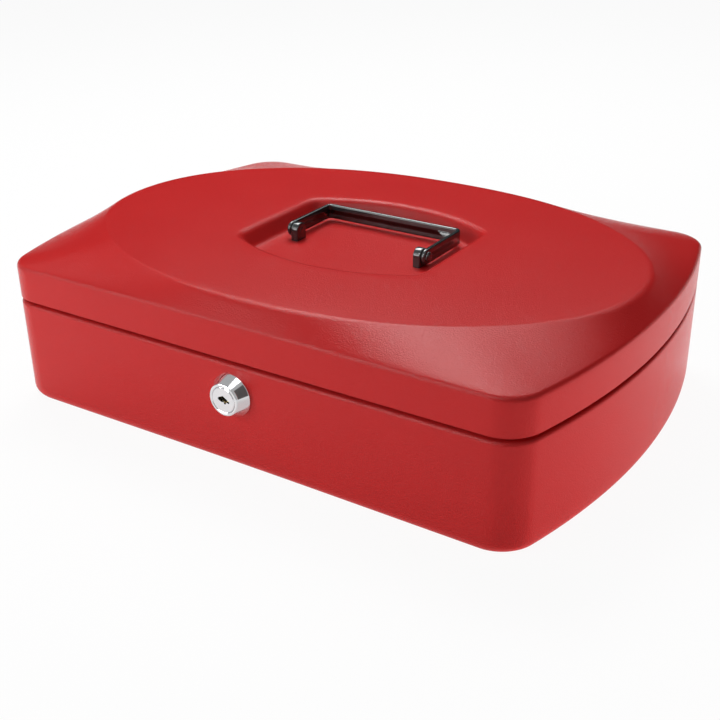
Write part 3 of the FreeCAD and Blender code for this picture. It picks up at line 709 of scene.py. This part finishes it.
def new_finish(name):
    """An empty material."""
    return Finish(bpy.data.materials.new(name))


def rgb(red, green, blue):
    """An opaque colour."""
    return (red, green, blue, 1.0)


def powder_coat():
    """Red powder coat: an orange-peel skin of about half a millimetre with a finer tooth on it."""
    f = new_finish("red_powder_coat")
    where = f.node("ShaderNodeTexCoord", output=3)
    peel = f.noise(where, 1500.0, 2.0)
    tooth = f.noise(where, 5200.0, 1.0)
    cloud = f.noise(where, 26.0, 3.0)
    height = peel * 0.7 + tooth * 0.3
    normal = f.node("ShaderNodeBump", None, {"Strength": 0.8, "Distance": 0.00025, "Height": height})
    tone = cloud * 0.6 + peel * 0.4
    colour = f.between(tone, rgb(0.49, 0.019, 0.019), rgb(0.55, 0.023, 0.023))
    return f.surface({"Base Color": colour, "Roughness": 0.15 + 0.1 * tone, "Normal": normal,
                      "Specular IOR Level": 0.155})


def black_nickel():
    """Dark satin plate with a glossy skin, misty in places, with faint draw marks."""
    f = new_finish("black_nickel")
    where = f.node("ShaderNodeTexCoord", output=3)
    mist = f.noise(where, 160.0, 4.0)
    grain = f.noise(where, 2600.0, 2.0)
    normal = f.node("ShaderNodeBump", None, {"Strength": 0.12, "Distance": 0.00005, "Height": grain})
    colour = f.between(mist, rgb(0.014, 0.021, 0.023), rgb(0.032, 0.043, 0.046))
    return f.surface({"Base Color": colour, "Roughness": 0.16 + 0.06 * mist, "Normal": normal,
                      "Specular IOR Level": 0.45, "Coat Weight": 0.7})


def bright_chrome():
    """Polished chrome plate with a faint haze."""
    f = new_finish("bright_chrome")
    where = f.node("ShaderNodeTexCoord", output=3)
    haze = f.noise(where, 420.0, 4.0)
    colour = f.between(haze, rgb(0.80, 0.81, 0.83), rgb(0.88, 0.88, 0.89))
    return f.surface({"Base Color": colour, "Metallic": 1.0, "Roughness": 0.05 + 0.07 * haze})


def collar_chrome():
    """Polished chrome with a bare satin panel on the collar's side, between two bearings about its axis."""
    f = new_finish("collar_chrome")
    where = f.node("ShaderNodeTexCoord", output=3)
    upward = f.axis(where, 2) - LOCK_Z
    bearing = f.node("ShaderNodeMath", {"operation": "ARCTAN2"}, {0: upward, 1: f.axis(where, 0)})
    depth = f.axis(where, 1)
    began = f.step(bearing, PANEL_START, PANEL_START + PANEL_FADE)
    width = began - f.step(bearing, PANEL_END - PANEL_FADE, PANEL_END)
    entered = f.step(depth, PANEL_FRONT, PANEL_FRONT + PANEL_EDGE)
    length = entered - f.step(depth, PANEL_REAR - PANEL_EDGE, PANEL_REAR)
    panel = width * length
    haze = f.noise(where, 420.0, 4.0)
    tooth = f.noise(where, 5200.0, 3.0)
    bright = f.between(haze, rgb(0.80, 0.81, 0.83), rgb(0.88, 0.88, 0.89))
    satin = f.between(tooth, rgb(0.10, 0.11, 0.11), rgb(0.21, 0.22, 0.22))
    sunk = panel * (tooth - 1.6)
    normal = f.node("ShaderNodeBump", None, {"Strength": 0.35, "Distance": 0.0001, "Height": sunk})
    return f.surface({"Base Color": f.between(panel, bright, satin), "Metallic": 1.0,
                      "Roughness": 0.05 + 0.07 * haze + 0.36 * panel, "Normal": normal})


def zinc_plate():
    """Zinc plated steel with soft grain."""
    f = new_finish("zinc_plate")
    where = f.node("ShaderNodeTexCoord", output=3)
    cloud = f.noise(where, 300.0, 5.0)
    fine = f.noise(where, 3000.0, 2.0)
    normal = f.node("ShaderNodeBump", None, {"Strength": 0.15, "Distance": 0.00004, "Height": fine})
    colour = f.between(cloud, rgb(0.50, 0.51, 0.53), rgb(0.70, 0.70, 0.69))
    return f.surface({"Base Color": colour, "Metallic": 1.0, "Roughness": 0.24 + 0.2 * cloud,
                      "Normal": normal})


def stamped_brass():
    """Stamped brass with a dull skin."""
    f = new_finish("stamped_brass")
    where = f.node("ShaderNodeTexCoord", output=3)
    cloud = f.noise(where, 500.0, 4.0)
    colour = f.between(cloud, rgb(0.55, 0.37, 0.12), rgb(0.78, 0.57, 0.24))
    return f.surface({"Base Color": colour, "Metallic": 1.0, "Roughness": 0.2 + 0.25 * cloud})


def moulded_plastic():
    """Black moulded plastic with a fine spark-eroded grain."""
    f = new_finish("moulded_plastic")
    where = f.node("ShaderNodeTexCoord", output=3)
    grain = f.noise(where, 2200.0, 3.0)
    cloud = f.noise(where, 60.0, 3.0)
    normal = f.node("ShaderNodeBump", None, {"Strength": 0.3, "Distance": 0.0001, "Height": grain})
    colour = f.between(cloud, rgb(0.016, 0.016, 0.017), rgb(0.03, 0.03, 0.032))
    return f.surface({"Base Color": colour, "Roughness": 0.42 + 0.16 * grain, "Normal": normal})


COAT, NICKEL, CHROME, COLLAR_CHROME = powder_coat(), black_nickel(), bright_chrome(), collar_chrome()
ZINC, BRASS, PLASTIC = zinc_plate(), stamped_brass(), moulded_plastic()
BY_SLOT = {"red_enamel": COAT, "black_nickel": NICKEL, "bright_chrome": CHROME, "zinc_steel": ZINC,
           "brass": BRASS, "black_plastic": PLASTIC}
for entry in frame["record"]["subparts"]:
    node = frame["nodes"][entry["node"]]
    node.data.materials.clear()
    node.data.materials.append(BY_SLOT[entry["material_slot"]])


# Pieces in the place of the CAD nodes
place(make_body(COAT), "box", "red_enamel", "body_shell")
place(make_lid(COAT), "lid", "red_enamel", "lid_shell")
place(make_handle(NICKEL), "handle", "black_nickel", "handle_strip")
for side, word, tenon in zip((-1, 1), ("left", "right"), make_tenons(NICKEL)):
    place(make_lug(side, NICKEL), "lid", "black_nickel", "handle_lug_" + word)
    place(tenon, "lid", "black_nickel", "handle_lug_" + word)
    place(make_rivet(side, NICKEL), "lid", "black_nickel", "pivot_rivet_" + word)
place(make_collar(COLLAR_CHROME), "box", "bright_chrome", "lock_housing")
place(make_plug(CHROME), "plug", "bright_chrome", "lock_plug")
place(softened("coin_tray", "tray_moulding", 0.5 * MM, PLASTIC), "tray", "black_plastic", "coin_tray")
place(softened("striker", "striker_strap", 0.25 * MM, ZINC), "lid", "zinc_steel", "striker")
place(softened("lock_cam", "cam_blade", 0.25 * MM, ZINC), "plug", "zinc_steel", "lock_cam")
place(softened("lock_nut", "nut_ring", 0.3 * MM, ZINC), "box", "zinc_steel", "lock_nut")
for word in ("left", "right"):
    ledge = softened("tray_ledge_" + word, "ledge_" + word, 0.2 * MM, COAT)
    place(ledge, "box", "red_enamel", "tray_ledge_" + word)
    body_leaf = softened("body_hinge_leaf_" + word, "body_leaf_" + word, 0.2 * MM, COAT)
    place(body_leaf, "box", "red_enamel", "body_hinge_leaf_" + word)
    lid_leaf = softened("lid_hinge_leaf_" + word, "lid_leaf_" + word, 0.2 * MM, COAT)
    place(lid_leaf, "lid", "red_enamel", "lid_hinge_leaf_" + word)


# Studio
def lamp(name, azimuth, elevation, distance, size, power, mirrored=True, lights=True):
    """A soft box that faces the object, at an azimuth from the front towards plus X and an elevation.

    Both are in degrees.  Without mirrored the box doesn't show in gloss, and without lights it shows in gloss
    alone, like a white card.
    """
    around, above = math.radians(azimuth), math.radians(elevation)
    level = math.cos(above)
    towards = Vector((math.sin(around) * level, -math.cos(around) * level, math.sin(above)))
    light = bpy.data.lights.new(name, "AREA")
    light.shape, light.size, light.size_y, light.energy = "RECTANGLE", size[0], size[1], power
    holder = bpy.data.objects.new(name, light)
    holder.location = Vector((0, 0, 0.05)) + distance * towards
    holder.visible_glossy, holder.visible_diffuse = mirrored, lights
    holder.rotation_mode = "QUATERNION"
    holder.rotation_quaternion = (-towards).to_track_quat("-Z", "Y")
    bpy.context.scene.collection.objects.link(holder)


def dark_card(name, bearings, distance, levels, finish):
    """An upright dark card that only reflections see: an arc in plan between two bearings from the back."""
    bearing = np.radians(np.linspace(*bearings, 25))
    plan = distance * np.stack([np.sin(bearing), np.cos(bearing)], axis=1)
    rows = np.stack([lift(plan, z) for z in levels])
    card = new_piece(name, rows.reshape(-1, 3), grid_faces(2, 25, False, False).reshape(-1, 4), finish)
    card.visible_camera = False
    card.visible_diffuse = False
    card.visible_shadow = False
    card.visible_transmission = False


def make_studio():
    """A white table that light comes through from below, white air, a dark card behind and soft boxes."""
    ground = np.array([[-6, -6, 0], [6, -6, 0], [6, 6, 0], [-6, 6, 0]], float) - [0, 0, 0.4 * MM]
    f = new_finish("studio_floor")
    rays = f.tree.nodes.new("ShaderNodeLightPath")
    seen = Value(f, rays.outputs["Is Camera Ray"]) * 0.94 + Value(f, rays.outputs["Is Glossy Ray"]) * 0.45
    where = f.node("ShaderNodeTexCoord", output=3)
    pale = f.between(f.noise(where, 3.0), rgb(0.82, 0.82, 0.82), rgb(0.86, 0.86, 0.86))
    matt = f.node("ShaderNodeBsdfDiffuse", None, {"Color": pale})
    glow = f.node("ShaderNodeEmission", None, {"Color": rgb(1, 1, 1), "Strength": 1.0})
    mixed = f.node("ShaderNodeMixShader", None, {0: seen, 1: matt, 2: glow})
    f.node("ShaderNodeOutputMaterial", None, {"Surface": mixed})
    floor = new_piece("studio_floor", ground, [[0, 1, 2, 3]], f.owner)
    floor.visible_shadow = False

    world = bpy.data.worlds.new("studio_air")
    bpy.context.scene.world = world
    w = Finish(world)
    rays = w.tree.nodes.new("ShaderNodeLightPath")
    seen = Value(w, rays.outputs["Is Camera Ray"]) + Value(w, rays.outputs["Is Glossy Ray"]) * 0.4
    air = w.node("ShaderNodeBackground", None, {"Color": rgb(1, 1, 1), "Strength": 0.05})
    white = w.node("ShaderNodeBackground", None, {"Color": rgb(1, 1, 1), "Strength": 1.0})
    mixed = w.node("ShaderNodeMixShader", None, {0: seen, 1: air, 2: white})
    w.node("ShaderNodeOutputWorld", None, {"Surface": mixed})

    soot = new_finish("dark_cloth")
    where = soot.node("ShaderNodeTexCoord", output=3)
    shade = soot.between(soot.noise(where, 4.0), rgb(0.012, 0.012, 0.012), rgb(0.02, 0.02, 0.02))
    cloth = soot.node("ShaderNodeBsdfDiffuse", None, {"Color": shade})
    soot.node("ShaderNodeOutputMaterial", None, {"Surface": cloth})
    dark_card("back_card", (-75, 70), 1.5, (0.02, 1.5), soot.owner)

    lamp("key_box", -126, 60, 1.0, (0.5, 0.42), 6.7)
    lamp("rear_box", -163, 54, 1.0, (0.7, 0.5), 3.8)
    lamp("top_box", 50, 72, 1.0, (0.4, 0.4), 0.8)
    lamp("front_strip", -38, 26, 1.0, (0.6, 0.14), 1.8, mirrored=False)
    lamp("front_card", -38, 26, 1.0, (0.8, 0.24), 3.6, lights=False)
    lamp("recess_card", -6, 41, 1.0, (0.42, 0.2), 3.0, lights=False)
    lamp("front_box", -28, 8, 1.0, (0.5, 0.35), 2.8)
    lamp("table_light_right", 100, -38, 0.9, (0.6, 0.6), 9.3, mirrored=False)
    lamp("table_light_front", -28, -38, 0.9, (0.6, 0.6), 2.7, mirrored=False)


def make_camera():
    """The photograph's viewpoint: azimuth, elevation, roll, distance and target of the fitted camera."""
    azimuth, elevation, roll = 0.5856958, 0.4545762, -0.0159690
    distance, target = 0.4781547, Vector((0.0467854, -0.0733609, 0.0526318))
    back = Vector((math.sin(azimuth) * math.cos(elevation), -math.cos(azimuth) * math.cos(elevation),
                   math.sin(elevation)))
    across = Vector((0, 0, 1)).cross(back).normalized()
    up = back.cross(across)
    right = math.cos(roll) * across + math.sin(roll) * up
    over = math.cos(roll) * up - math.sin(roll) * across
    data = bpy.data.cameras.new("viewpoint")
    data.sensor_width, data.lens = 36.0, 36.0 * 1133.947 / 720.0
    data.clip_start, data.clip_end = 0.01, 50.0
    camera = bpy.data.objects.new("viewpoint", data)
    turn = Matrix((right, over, back)).transposed()
    camera.matrix_world = Matrix.Translation(target + back * distance) @ turn.to_4x4()
    bpy.context.scene.collection.objects.link(camera)
    bpy.context.scene.camera = camera


make_studio()
make_camera()
bpy.context.scene.view_settings.view_transform = "Standard"

bpy.context.view_layer.update()
